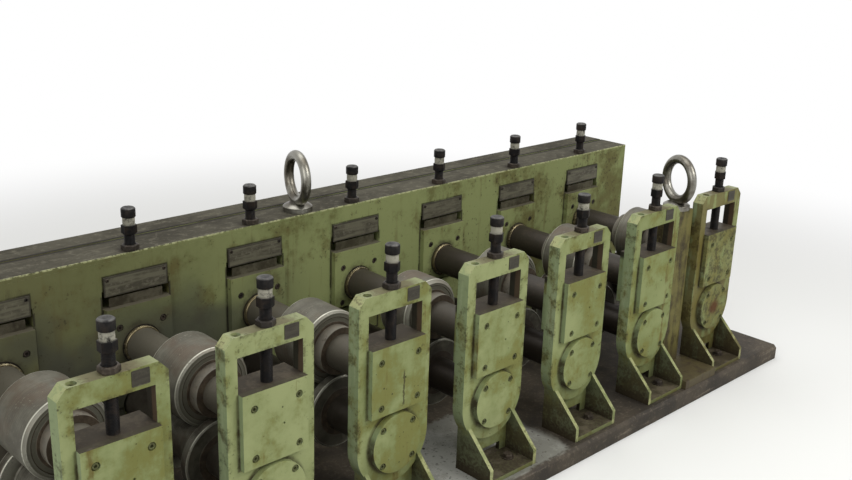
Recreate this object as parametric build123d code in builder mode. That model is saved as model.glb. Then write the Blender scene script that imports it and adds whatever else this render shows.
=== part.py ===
"""Raft of a tube mill: roll stands in a row, each with an upper and a lower forming roll."""

import os

from build123d import *

# Row of stations
station_count = 7
station_pitch = 350
end_margin = 185
box_end_margin = 140

# Base plate
base_thickness = 50
base_depth = 900
base_front_chamfer = 10
front_ledge = 109

# Outboard stands
stand_width = 224
stand_depth = 36
stand_height = 574
stand_leg_width = 29
stand_corner_width = 20
stand_corner_drop = 22
window_top_below = 46
chock_travel_down = 3
chock_travel_up = 12
stop_clearance = 9
web_recess = 14
web_thickness = 12
notch_height = 38
notch_width = 132
gusset_inset = 22
gusset_thickness = 12
gusset_reach = 86
gusset_rise = 42
gusset_top = 129
foot_thickness = 12

# Round bearing covers
cover_diameter = 154
cover_thickness = 17

# Drive box
box_front_from_stand = 562
box_depth = 196
box_height = 592
top_strip_thickness = 12
top_slot_width = 5
top_slot_from_front = 111
end_plate_thickness = 16
end_plate_inset = 14

# Roll axes and shafts
lower_axis_height = 189
axis_distance = 164
shaft_diameter = 90
bearing_clearance = 0.05
shaft_seat_outboard = 26
shaft_seat_inboard = 60
seal_diameter = 104
seal_depth = 12

# Forming rolls
roll_gap = 8
pass_centre_from_stand = 292
upper_roll_radius = 96
roll_half_widths = [76, 64, 62, 56, 52, 66, 46]
roll_chamfers = [7, 5, 6, 9, 7, 5, 11]
spacer_radius = 62
spacer_length = 30
flange_radius = 96
flange_width = 26
flange_clearance = 6

# Sliding chocks
slide_clearance = 0.3
outboard_chock_height = 157
outboard_chock_depth = 69
inboard_chock_height = 171
inboard_chock_depth = 104
chock_bottom = 291
slide_plate_width = 168
slide_plate_thickness = 16
slide_plate_drop = 17
box_slot_width = 180
inboard_plate_width = 174
inboard_plate_thickness = 15
pointer_width = 144
pointer_height = 24
pointer_thickness = 3
pointer_recess = 1

# Adjusting screws
screw_diameter = 27
screw_hole_clearance = 1.5
screw_set_back = 18
nut_across_flats = 38
nut_height = 15
neck_height = 26
hex_collar_across_flats = 33
hex_collar_height = 24
ring_diameter = 30
ring_height = 18
cap_diameter = 35
cap_height = 24
screw_sides = 12

# Scale plates on the drive box
scale_plate_width = 170
scale_plate_height = 50
scale_plate_thickness = 4
scale_plate_above_pointer = 6

# Lifting eyes and post
eye_outer_diameter = 156
eye_bar_diameter = 30
eye_bar_sides = 8
eye_foot_diameter = 82
eye_foot_height = 25
eye_seat_depth = 10
box_eye_after_stations = 3
box_eye_turn_degrees = 75
box_eye_set_back = 25
post_after_stations = 6
post_eye_turn_degrees = 70
post_width = 88
post_depth = 70
post_height = 538
post_foot_thickness = 28
post_foot_reach = 100
post_foot_clearance = 0.3
post_from_stand_front = 21

# Places worked out from the sizes above
row_length = (station_count - 1) * station_pitch
base_length = row_length + 2 * (stand_width / 2 + end_margin)
box_length = row_length + 2 * (stand_width / 2 + box_end_margin)
front_edge = -base_depth / 2
stand_front = front_edge + front_ledge
stand_back = stand_front + stand_depth
box_front = stand_front + box_front_from_stand
box_back = box_front + box_depth
base_top = base_thickness
stand_top = base_top + stand_height
box_top = base_top + box_height
body_top = box_top - top_strip_thickness
window_half_width = stand_width / 2 - stand_leg_width
window_top = stand_top - window_top_below
chock_foot = base_top + chock_bottom
window_bottom = chock_foot - chock_travel_down - stop_clearance
inboard_chock_top = chock_foot + inboard_chock_height
pointer_top = inboard_chock_top + pointer_height
slot_top = pointer_top + chock_travel_up + stop_clearance
slot_depth = inboard_chock_depth + slide_clearance
lower_axis = base_top + lower_axis_height
upper_axis = lower_axis + axis_distance
pass_centre = stand_front + pass_centre_from_stand
stand_screw_y = (stand_front + stand_back) / 2
box_screw_y = box_front + screw_set_back
shaft_radius = shaft_diameter / 2
bore_radius = shaft_radius + bearing_clearance
screw_hole_radius = screw_diameter / 2 + screw_hole_clearance
station_places = [(number - (station_count + 1) / 2) * station_pitch for number in range(1, station_count + 1)]


def save(builder, label):
    """Labels one finished piece and writes it to its own file."""
    builder.part.label = label
    export_step(builder.part, f"parts/{label}.step")


def bay_middle(stations_before):
    """Place along the row, half way from one station to the next."""
    return station_places[stations_before - 1] + station_pitch / 2


def facing_front(x, y):
    """Upright plane at depth y whose sketches read as seen from the front."""
    return Plane(origin=(x, y, 0), x_dir=(1, 0, 0), z_dir=(0, -1, 0))


def across(x):
    """Upright plane at x whose sketches are drawn as (y, z)."""
    return Plane(origin=(x, 0, 0), x_dir=(0, 1, 0), z_dir=(1, 0, 0))


def base_plate():
    """Plate under the whole raft, with a bevelled front and back edge."""
    with BuildPart() as plate:
        with BuildSketch():
            Rectangle(base_length, base_depth)
        extrude(amount=base_thickness)
        long_edges = plate.faces().sort_by(Axis.Z)[-1].edges().filter_by(Axis.X)
        chamfer(long_edges, length=base_front_chamfer)
    save(plate, "base_plate")


def outboard_stand(number, x):
    """Window frame, round about the lower shaft, on two flared gussets with a web between them."""
    half = stand_width / 2
    gusset_outer = half - gusset_inset
    gusset_inner = gusset_outer - gusset_thickness
    gusset_front = stand_front - gusset_reach
    window_height = window_top - window_bottom
    with BuildPart() as stand:
        with BuildSketch(facing_front(x, stand_front)):
            with BuildLine():
                Polyline(
                    (-half, lower_axis),
                    (-half, stand_top - stand_corner_drop),
                    (-half + stand_corner_width, stand_top),
                    (half - stand_corner_width, stand_top),
                    (half, stand_top - stand_corner_drop),
                    (half, lower_axis),
                )
                ThreePointArc((half, lower_axis), (0, lower_axis - half), (-half, lower_axis))
            make_face()
            with Locations((0, window_bottom + window_height / 2)):
                Rectangle(2 * window_half_width, window_height, mode=Mode.SUBTRACT)
        extrude(amount=-stand_depth)
        # The web is set back from the front, with a notch at its left end.
        with BuildSketch(facing_front(x, stand_front + web_recess)):
            with BuildLine():
                Polyline(
                    (-gusset_inner, lower_axis),
                    (-gusset_inner, base_top + notch_height),
                    (-gusset_inner + notch_width, base_top + notch_height),
                    (-gusset_inner + notch_width, base_top),
                    (gusset_inner, base_top),
                    (gusset_inner, lower_axis),
                    close=True,
                )
            make_face()
        extrude(amount=-web_thickness)
        with BuildSketch(across(x - gusset_outer), across(x + gusset_inner)):
            with BuildLine():
                Polyline(
                    (stand_back, base_top),
                    (stand_back, base_top + gusset_top),
                    (stand_front, base_top + gusset_top),
                    (gusset_front, base_top + gusset_rise),
                    (gusset_front, base_top),
                    close=True,
                )
            make_face()
        extrude(amount=gusset_thickness)
        with BuildSketch(Plane.XY.offset(base_top)):
            with Locations((x, gusset_front)):
                Rectangle(2 * gusset_inner, gusset_reach + stand_depth, align=(Align.CENTER, Align.MIN))
        extrude(amount=foot_thickness)
        with BuildSketch(facing_front(x, stand_back)):
            with Locations((0, lower_axis)):
                Circle(bore_radius)
        extrude(amount=shaft_seat_outboard, mode=Mode.SUBTRACT)
        with BuildSketch(Plane.XY.offset(stand_top)):
            with Locations((x, stand_screw_y)):
                Circle(screw_hole_radius)
        extrude(amount=-window_top_below, mode=Mode.SUBTRACT)
    save(stand, f"outboard_stand_{number}")


def round_covers():
    """Bearing covers on the fronts of the stands."""
    with BuildPart() as covers:
        for x in station_places:
            with BuildSketch(facing_front(x, stand_front)):
                with Locations((0, lower_axis)):
                    Circle(cover_diameter / 2)
            extrude(amount=cover_thickness)
    save(covers, "round_covers")


def drive_box():
    """Housing with a slot for each inboard chock and a bore with a seal seat for each lower shaft."""
    with BuildPart() as box:
        with BuildSketch(Plane.XY.offset(base_top)):
            with Locations((0, box_front)):
                Rectangle(box_length, box_depth, align=(Align.CENTER, Align.MIN))
        extrude(amount=body_top - base_top)
        slot_bottom = chock_foot - chock_travel_down - stop_clearance
        for x in station_places:
            with BuildSketch(facing_front(x, box_front)):
                with Locations((0, slot_bottom)):
                    Rectangle(box_slot_width, slot_top - slot_bottom, align=(Align.CENTER, Align.MIN))
            extrude(amount=-slot_depth, mode=Mode.SUBTRACT)
            with BuildSketch(facing_front(x, box_front)):
                with Locations((0, lower_axis)):
                    Circle(seal_diameter / 2)
            extrude(amount=-seal_depth, mode=Mode.SUBTRACT)
            with BuildSketch(facing_front(x, box_front)):
                with Locations((0, lower_axis)):
                    Circle(bore_radius)
            extrude(amount=-shaft_seat_inboard, mode=Mode.SUBTRACT)
            with BuildSketch(Plane.XY.offset(body_top)):
                with Locations((x, box_screw_y)):
                    Circle(screw_hole_radius)
            extrude(amount=slot_top - body_top, mode=Mode.SUBTRACT)
    save(box, "drive_box")


def top_strips():
    """Two worn strips along the top of the drive box, with a narrow slot between them."""
    with BuildPart() as strips:
        with BuildSketch(Plane.XY.offset(body_top)):
            with Locations((0, box_front)):
                Rectangle(box_length, top_slot_from_front, align=(Align.CENTER, Align.MIN))
            with Locations((0, box_front + top_slot_from_front + top_slot_width)):
                rear_depth = box_depth - top_slot_from_front - top_slot_width
                Rectangle(box_length, rear_depth, align=(Align.CENTER, Align.MIN))
            with Locations([(x, box_screw_y) for x in station_places]):
                Circle(screw_hole_radius, mode=Mode.SUBTRACT)
        extrude(amount=top_strip_thickness)
    save(strips, "top_strips")


def end_plates():
    """Covers bolted over both ends of the drive box."""
    with BuildPart() as plates:
        height = body_top - base_top - 2 * end_plate_inset
        depth = box_depth - 2 * end_plate_inset
        for side in (-1, 1):
            with BuildSketch(across(side * box_length / 2)):
                with Locations((box_front + box_depth / 2, (body_top + base_top) / 2)):
                    Rectangle(depth, height)
            extrude(amount=side * end_plate_thickness)
    save(plates, "end_plates")


def scale_plates():
    """Bare plates over the upper ends of the inboard slots."""
    with BuildPart() as plates:
        for x in station_places:
            with BuildSketch(facing_front(x, box_front)):
                with Locations((0, pointer_top + scale_plate_above_pointer)):
                    Rectangle(scale_plate_width, scale_plate_height, align=(Align.CENTER, Align.MIN))
            extrude(amount=scale_plate_thickness)
    save(plates, "scale_plates")


def lock_nuts(label, y, height):
    """Hexagon nuts that guide the adjusting screws."""
    with BuildPart() as nuts:
        for x in station_places:
            with BuildSketch(Plane.XY.offset(height)):
                with Locations((x, y)):
                    RegularPolygon(nut_across_flats / 2, 6, major_radius=False)
                    RegularPolygon(screw_diameter / 2 + bearing_clearance, screw_sides, mode=Mode.SUBTRACT)
            extrude(amount=nut_height)
    save(nuts, label)


def adjusting_screw(x, y, foot, head):
    """Screw from its foot on the chock up to its cap; head is the top of its lock nut."""
    collar_foot = head + neck_height
    with BuildPart() as screw:
        with BuildSketch(Plane.XY.offset(foot)):
            with Locations((x, y)):
                RegularPolygon(screw_diameter / 2, screw_sides)
        extrude(amount=collar_foot - foot)
        with BuildSketch(Plane.XY.offset(collar_foot)):
            with Locations((x, y)):
                RegularPolygon(hex_collar_across_flats / 2, 6, major_radius=False)
        extrude(amount=hex_collar_height)
        with BuildSketch(Plane.XY.offset(collar_foot + hex_collar_height)):
            with Locations((x, y)):
                RegularPolygon(ring_diameter / 2, screw_sides)
        extrude(amount=ring_height)
        with BuildSketch(Plane.XY.offset(collar_foot + hex_collar_height + ring_height)):
            with Locations((x, y)):
                RegularPolygon(cap_diameter / 2, screw_sides)
        extrude(amount=cap_height)
    return screw.part


def outboard_chock(number, x):
    """Block that slides in the stand's window, its face plate, and its adjusting screw."""
    top = chock_foot + outboard_chock_height
    face = stand_front - slide_clearance
    with BuildPart() as chock:
        with BuildSketch(facing_front(x, face)):
            with Locations((0, chock_foot)):
                Rectangle(
                    2 * (window_half_width - slide_clearance),
                    outboard_chock_height,
                    align=(Align.CENTER, Align.MIN),
                )
        extrude(amount=-(outboard_chock_depth + slide_clearance))
        with BuildSketch(facing_front(x, face)):
            with Locations((0, top)):
                Rectangle(
                    slide_plate_width, outboard_chock_height + slide_plate_drop, align=(Align.CENTER, Align.MAX)
                )
        extrude(amount=slide_plate_thickness)
        with BuildSketch(facing_front(x, stand_front + outboard_chock_depth)):
            with Locations((0, upper_axis)):
                Circle(bore_radius)
        extrude(amount=outboard_chock_depth - shaft_seat_outboard, mode=Mode.SUBTRACT)
        add(adjusting_screw(x, stand_screw_y, top + slide_clearance, stand_top + nut_height))
    save(chock, f"outboard_chock_{number}")


def inboard_chock(number, x):
    """Block that slides in the drive box, with its proud face, its pointer strip and its screw."""
    body_width = box_slot_width - 2 * slide_clearance
    plate_front = box_front - inboard_plate_thickness
    with BuildPart() as chock:
        with BuildSketch(facing_front(x, box_front)):
            with Locations((0, chock_foot)):
                Rectangle(body_width, inboard_chock_height, align=(Align.CENTER, Align.MIN))
        extrude(amount=-inboard_chock_depth)
        with BuildSketch(facing_front(x, box_front)):
            with Locations((0, chock_foot)):
                Rectangle(inboard_plate_width, inboard_chock_height, align=(Align.CENTER, Align.MIN))
        extrude(amount=inboard_plate_thickness)
        with BuildSketch(facing_front(x, box_front + pointer_recess)):
            with Locations((0, inboard_chock_top)):
                Rectangle(pointer_width, pointer_height, align=(Align.CENTER, Align.MIN))
        extrude(amount=-pointer_thickness)
        with BuildSketch(facing_front(x, plate_front)):
            with Locations((0, upper_axis)):
                Circle(seal_diameter / 2)
        extrude(amount=-seal_depth, mode=Mode.SUBTRACT)
        with BuildSketch(facing_front(x, plate_front)):
            with Locations((0, upper_axis)):
                Circle(bore_radius)
        extrude(amount=-(inboard_plate_thickness + shaft_seat_inboard), mode=Mode.SUBTRACT)
        add(adjusting_screw(x, box_screw_y, inboard_chock_top + slide_clearance, box_top + nut_height))
    save(chock, f"inboard_chock_{number}")


def arbor(label, x, height, outer_end, roll_profile):
    """Shaft with its roll, turned as one; the profile is drawn as (y, radius)."""
    inner_end = box_front + shaft_seat_inboard - slide_clearance
    with BuildPart() as turned:
        with BuildSketch(Plane(origin=(x, 0, height), x_dir=(0, 1, 0), z_dir=(1, 0, 0))):
            with BuildLine():
                Polyline(
                    (outer_end, 0),
                    (outer_end, shaft_radius),
                    *roll_profile,
                    (inner_end, shaft_radius),
                    (inner_end, 0),
                    close=True,
                )
            make_face()
        revolve(axis=Axis((x, 0, height), (0, 1, 0)))
    save(turned, label)


def upper_profile(half_width, edge):
    """Male roll with bevelled edges, between two spacers."""
    front = pass_centre - half_width
    back = pass_centre + half_width
    return [
        (front - spacer_length, shaft_radius),
        (front - spacer_length, spacer_radius),
        (front, spacer_radius),
        (front, upper_roll_radius - edge),
        (front + edge, upper_roll_radius),
        (back - edge, upper_roll_radius),
        (back, upper_roll_radius - edge),
        (back, spacer_radius),
        (back + spacer_length, spacer_radius),
        (back + spacer_length, shaft_radius),
    ]


def lower_profile(half_width):
    """Female roll: a drum between two flanges that stand beside the male roll."""
    drum_radius = axis_distance - roll_gap - upper_roll_radius
    front = pass_centre - half_width - flange_clearance
    back = pass_centre + half_width + flange_clearance
    return [
        (front - flange_width, shaft_radius),
        (front - flange_width, flange_radius),
        (front, flange_radius),
        (front, drum_radius),
        (back, drum_radius),
        (back, flange_radius),
        (back + flange_width, flange_radius),
        (back + flange_width, shaft_radius),
    ]


def lifting_eye(x, y, seat, turn):
    """Eye bolt: a round foot and a ring that stands on it, turned about its stem."""
    ring_radius = (eye_outer_diameter - eye_bar_diameter) / 2
    centre = (x, y, seat + eye_foot_height - eye_seat_depth + eye_outer_diameter / 2)
    ring_axis = Vector(0, 1, 0).rotate(Axis.Z, turn)
    section = Plane(origin=centre, x_dir=ring_axis, z_dir=ring_axis.rotate(Axis.Z, -90))
    with BuildPart() as eye:
        with BuildSketch(Plane.XY.offset(seat)):
            with Locations((x, y)):
                Circle(eye_foot_diameter / 2)
        extrude(amount=eye_foot_height)
        with BuildSketch(section):
            with Locations((0, ring_radius)):
                RegularPolygon(eye_bar_diameter / 2, eye_bar_sides, rotation=180 / eye_bar_sides)
        revolve(axis=Axis(centre, ring_axis))
    return eye


def lifting_post():
    """Square post on a foot plate that fills the space between two stands."""
    x = bay_middle(post_after_stations)
    middle = stand_front + post_from_stand_front + post_depth / 2
    foot_width = station_pitch - stand_width + 2 * gusset_inset - 2 * post_foot_clearance
    foot_depth = post_foot_reach + post_from_stand_front + post_depth
    with BuildPart() as post:
        with BuildSketch(Plane.XY.offset(base_top)):
            with Locations((x, stand_front - post_foot_reach)):
                Rectangle(foot_width, foot_depth, align=(Align.CENTER, Align.MIN))
        extrude(amount=post_foot_thickness)
        with BuildSketch(Plane.XY.offset(base_top)):
            with Locations((x, middle)):
                Rectangle(post_width, post_depth)
        extrude(amount=post_height)
    save(post, "lifting_post")
    save(lifting_eye(x, middle, base_top + post_height, post_eye_turn_degrees), "post_eye")


os.makedirs("parts", exist_ok=True)

base_plate()
round_covers()
drive_box()
top_strips()
end_plates()
scale_plates()
lock_nuts("stand_nuts", stand_screw_y, stand_top)
lock_nuts("box_nuts", box_screw_y, box_top)
for number, x in enumerate(station_places, 1):
    half_width = roll_half_widths[number - 1]
    edge = roll_chamfers[number - 1]
    outboard_stand(number, x)
    outboard_chock(number, x)
    inboard_chock(number, x)
    lower_end = stand_back - shaft_seat_outboard + slide_clearance
    upper_end = stand_front + shaft_seat_outboard + slide_clearance
    arbor(f"lower_arbor_{number}", x, lower_axis, lower_end, lower_profile(half_width))
    arbor(f"upper_arbor_{number}", x, upper_axis, upper_end, upper_profile(half_width, edge))
box_eye_y = box_screw_y + box_eye_set_back
save(lifting_eye(bay_middle(box_eye_after_stations), box_eye_y, box_top, box_eye_turn_degrees), "box_eye")
lifting_post()
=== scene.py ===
from math import cos, pi, radians, sin, tau

import bmesh
import bpy
import numpy as np
from mathutils import Matrix, Vector


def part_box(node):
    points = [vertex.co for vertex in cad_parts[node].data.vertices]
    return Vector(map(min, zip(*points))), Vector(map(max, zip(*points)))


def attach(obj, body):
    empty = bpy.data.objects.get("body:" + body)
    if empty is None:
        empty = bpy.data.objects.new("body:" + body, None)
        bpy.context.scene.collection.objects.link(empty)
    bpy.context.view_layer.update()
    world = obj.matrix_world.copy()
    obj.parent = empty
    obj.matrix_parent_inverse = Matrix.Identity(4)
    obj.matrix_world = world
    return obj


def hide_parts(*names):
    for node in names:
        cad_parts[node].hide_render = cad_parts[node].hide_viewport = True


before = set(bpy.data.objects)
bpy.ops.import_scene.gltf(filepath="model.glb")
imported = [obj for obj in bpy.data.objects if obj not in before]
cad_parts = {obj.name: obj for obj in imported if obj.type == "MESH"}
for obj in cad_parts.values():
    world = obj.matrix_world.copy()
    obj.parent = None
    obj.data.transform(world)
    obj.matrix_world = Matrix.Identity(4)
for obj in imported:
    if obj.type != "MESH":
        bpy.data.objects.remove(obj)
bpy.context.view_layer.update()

scene = bpy.context.scene
print("frame loaded:", len(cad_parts), "nodes")


def linked(name, data):  # a new object in the scene
    made = bpy.data.objects.new(name, data)
    scene.collection.objects.link(made)
    return made


def middleOf(node, way):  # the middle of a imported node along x, y or z
    return sum(getattr(corner, way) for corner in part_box(node)) / 2


upward, toFront = (0, 0, 1), (0, -1, 0)

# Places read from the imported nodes, so that every new piece sits where the frame says
stations = range(1, 8)
blockHeights = {"outboard": 0.174, "inboard": 0.171}  # from the foot of the face plate to the block's top
centreX = {k: middleOf(f"outboard_stand_{k}", "x") for k in stations}
pitch = centreX[2] - centreX[1]
lowerAxis, upperAxis = middleOf("lower_arbor_1", "z"), middleOf("upper_arbor_1", "z")
standScrewY, boxScrewY = middleOf("stand_nuts", "y"), middleOf("box_nuts", "y")
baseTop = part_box("base_plate")[1].z
standTop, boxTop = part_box("stand_nuts")[0].z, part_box("box_nuts")[0].z
coverFront, standFront = (corner.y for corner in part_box("round_covers"))
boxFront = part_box("scale_plates")[1].y
outerFoot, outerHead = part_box("outboard_chock_1")
innerFoot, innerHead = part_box("inboard_chock_1")
frontPlate, innerPlate = outerFoot.y, innerFoot.y
chockTop = outerFoot.z + blockHeights["outboard"]
innerTop = innerFoot.z + blockHeights["inboard"]


class Shade:
    # one output socket of a material's nodes; an expression on it adds its Math nodes
    def __init__(self, tree, socket=None):
        self.tree = tree
        self.socket = socket

    def node(self, kind, settings=None, sockets=None, output=0):
        made = self.tree.nodes.new(kind)
        for name, value in (settings or {}).items():
            setattr(made, name, value)
        for name, value in (sockets or {}).items():
            target = made.inputs[name]
            if isinstance(value, Shade):
                self.tree.links.new(value.socket, target)
            elif target.type == "RGBA":
                target.default_value = (*value, 1)
            else:
                target.default_value = value
        return Shade(self.tree, made.outputs[output] if made.outputs else None)

    def math(self, operation, *values):
        return self.node("ShaderNodeMath", {"operation": operation}, dict(enumerate(values)))

    def __add__(self, other):
        return self.math("ADD", self, other)

    def __radd__(self, other):
        return self.math("ADD", other, self)

    def __sub__(self, other):
        return self.math("SUBTRACT", self, other)

    def __rsub__(self, other):
        return self.math("SUBTRACT", other, self)

    def __mul__(self, other):
        return self.math("MULTIPLY", self, other)

    def __rmul__(self, other):
        return self.math("MULTIPLY", other, self)


def root(value):
    return value.math("SQRT", value)


def size(value):
    return value.math("ABSOLUTE", value)


def tone(red, green, blue):
    # a colour as it looks on screen, 0 to 255, as the linear values of a shader
    level = np.array([red, green, blue]) / 255
    linear = np.where(level <= 0.04045, level / 12.92, ((level + 0.055) / 1.055) ** 2.4)
    return tuple(float(value) for value in linear)


def rise(value, low, high):
    # 0 below low, 1 above high, smooth between; low above high turns it round
    span = {"Value": value, "From Min": low, "From Max": high}
    return value.node("ShaderNodeMapRange", {"interpolation_type": "SMOOTHSTEP"}, span)


def mix(factor, first, second):  # two colours, by a factor
    settings = {"data_type": "RGBA", "clamp_factor": True}
    return factor.node("ShaderNodeMix", settings, {0: factor, 6: first, 7: second}, output=2)


def fromAxis(across, height, axis):  # the distance from an axis along the depth, in a station
    return root(across * across + (height - axis) * (height - axis))


def stretched(where, x, y, z):
    return where.node("ShaderNodeVectorMath", {"operation": "MULTIPLY"}, {0: where, 1: (x, y, z)})


def noise(where, scale, detail=3.0, roughness=0.55):
    sockets = {"Vector": where, "Scale": scale, "Detail": detail, "Roughness": roughness}
    return where.node("ShaderNodeTexNoise", {}, sockets)


def split(where):
    made = where.node("ShaderNodeSeparateXYZ", {}, {"Vector": where})
    outputs = made.socket.node.outputs
    return Shade(where.tree, outputs[0]), Shade(where.tree, outputs[1]), Shade(where.tree, outputs[2])


def spots(where, scale, reach, share):
    # scattered round spots: a cell shows one if its own random value is high
    cell = where.node("ShaderNodeTexVoronoi", {}, {"Vector": where, "Scale": scale})
    chosen = split(Shade(where.tree, cell.socket.node.outputs["Color"]))[0]
    return rise(cell, reach, reach * 0.55) * rise(chosen, 1 - share, 1.02 - share)


def painted(where, name):  # an attribute of the mesh, written by the function that made it
    return where.node("ShaderNodeAttribute", {"attribute_name": name}, output="Fac")


def bump(where, height, distance, strength):
    sockets = {"Height": height, "Distance": distance, "Strength": strength}
    return where.node("ShaderNodeBump", {}, sockets, output="Normal")


def facing(where):
    return split(where.node("ShaderNodeNewGeometry", output="Normal"))


def newMaterial(name, surface, **choice):
    # surface(where, **choice) gives the sockets of the shader, worked out from object coordinates
    material = bpy.data.materials.new(name)
    material.use_nodes = True
    tree = material.node_tree
    tree.nodes.clear()
    where = Shade(tree).node("ShaderNodeTexCoord", output="Object")
    shader = where.node("ShaderNodeBsdfPrincipled", {}, surface(where, **choice))
    shader.node("ShaderNodeOutputMaterial", {}, {"Surface": shader})
    return material


def withinStation(x):  # the distance from the middle of the nearest station, along the row
    start = centreX[1] - pitch / 2
    return (x - start).math("FLOORED_MODULO", x - start, pitch) - pitch / 2


def outside(across, halfWidth, z, low, high):
    # how far a point lies outside a rectangle: the larger of its overshoots across and in height,
    # negative inside
    sideways = size(across) - halfWidth
    upright = sideways.math("MAXIMUM", z - high, low - z)
    return sideways.math("MAXIMUM", sideways, upright)


def larger(first, second):
    return first.math("MAXIMUM", first, second)


class Paint:
    # a surface built up in layers, each over the last; a look gives the tones their names
    def __init__(self, where, look, first):
        self.where = where
        self.look = look
        self.colour = look[first]

    def over(self, factor, layer):  # a tone of the look, or a colour mixed before
        self.colour = mix(factor, self.colour, self.look[layer] if isinstance(layer, str) else layer)

    def sockets(self, rough, height, depth, strength, metal=0.0, sheen=0.5):
        # what the shader takes; height, depth and strength make its bumps
        return {"Base Color": self.colour, "Roughness": rough, "Metallic": metal,
                "Specular IOR Level": sheen, "Normal": bump(self.where, height, depth, strength)}


greenLook = {
    # blue is painted light: the tint of the light that falls on the sides
    "light": tone(148, 155, 108), "dark": tone(118, 127, 80), "blue": tone(132, 146, 110),
    "streak": tone(152, 163, 128), "stain": tone(116, 114, 60), "oil": tone(96, 82, 40),
    "grimeAndShade": tone(54, 47, 34), "worn": tone(98, 91, 70), "corner": tone(138, 143, 108),
    "pale": tone(174, 176, 128), "bare": tone(50, 44, 32), "window": tone(80, 63, 50),
    "windowShade": tone(40, 35, 30), "ledge": tone(58, 52, 43), "foot": tone(60, 53, 41),
    "dust": tone(90, 82, 68), "rust": tone(78, 45, 20),
    # half widths from the middle of a stand, then heights, and how deep the window is seen, where its painted
    # shade begins
    "plateHalf": 0.084, "windowHalf": 0.0834, "gussetHalf": 0.078, "standHalf": 0.112,
    "plateLow": 0.324, "blockRoof": 0.486, "gussetRoof": 0.170, "windowRoof": 0.0454,
    "coverRadius": 0.077, "depthSeen": 0.018,
    # the seam on the third plate: how far right of the middle, its ends
    "seamAt": 0.015, "seamLow": 0.332, "seamHigh": 0.430,
}


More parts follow.
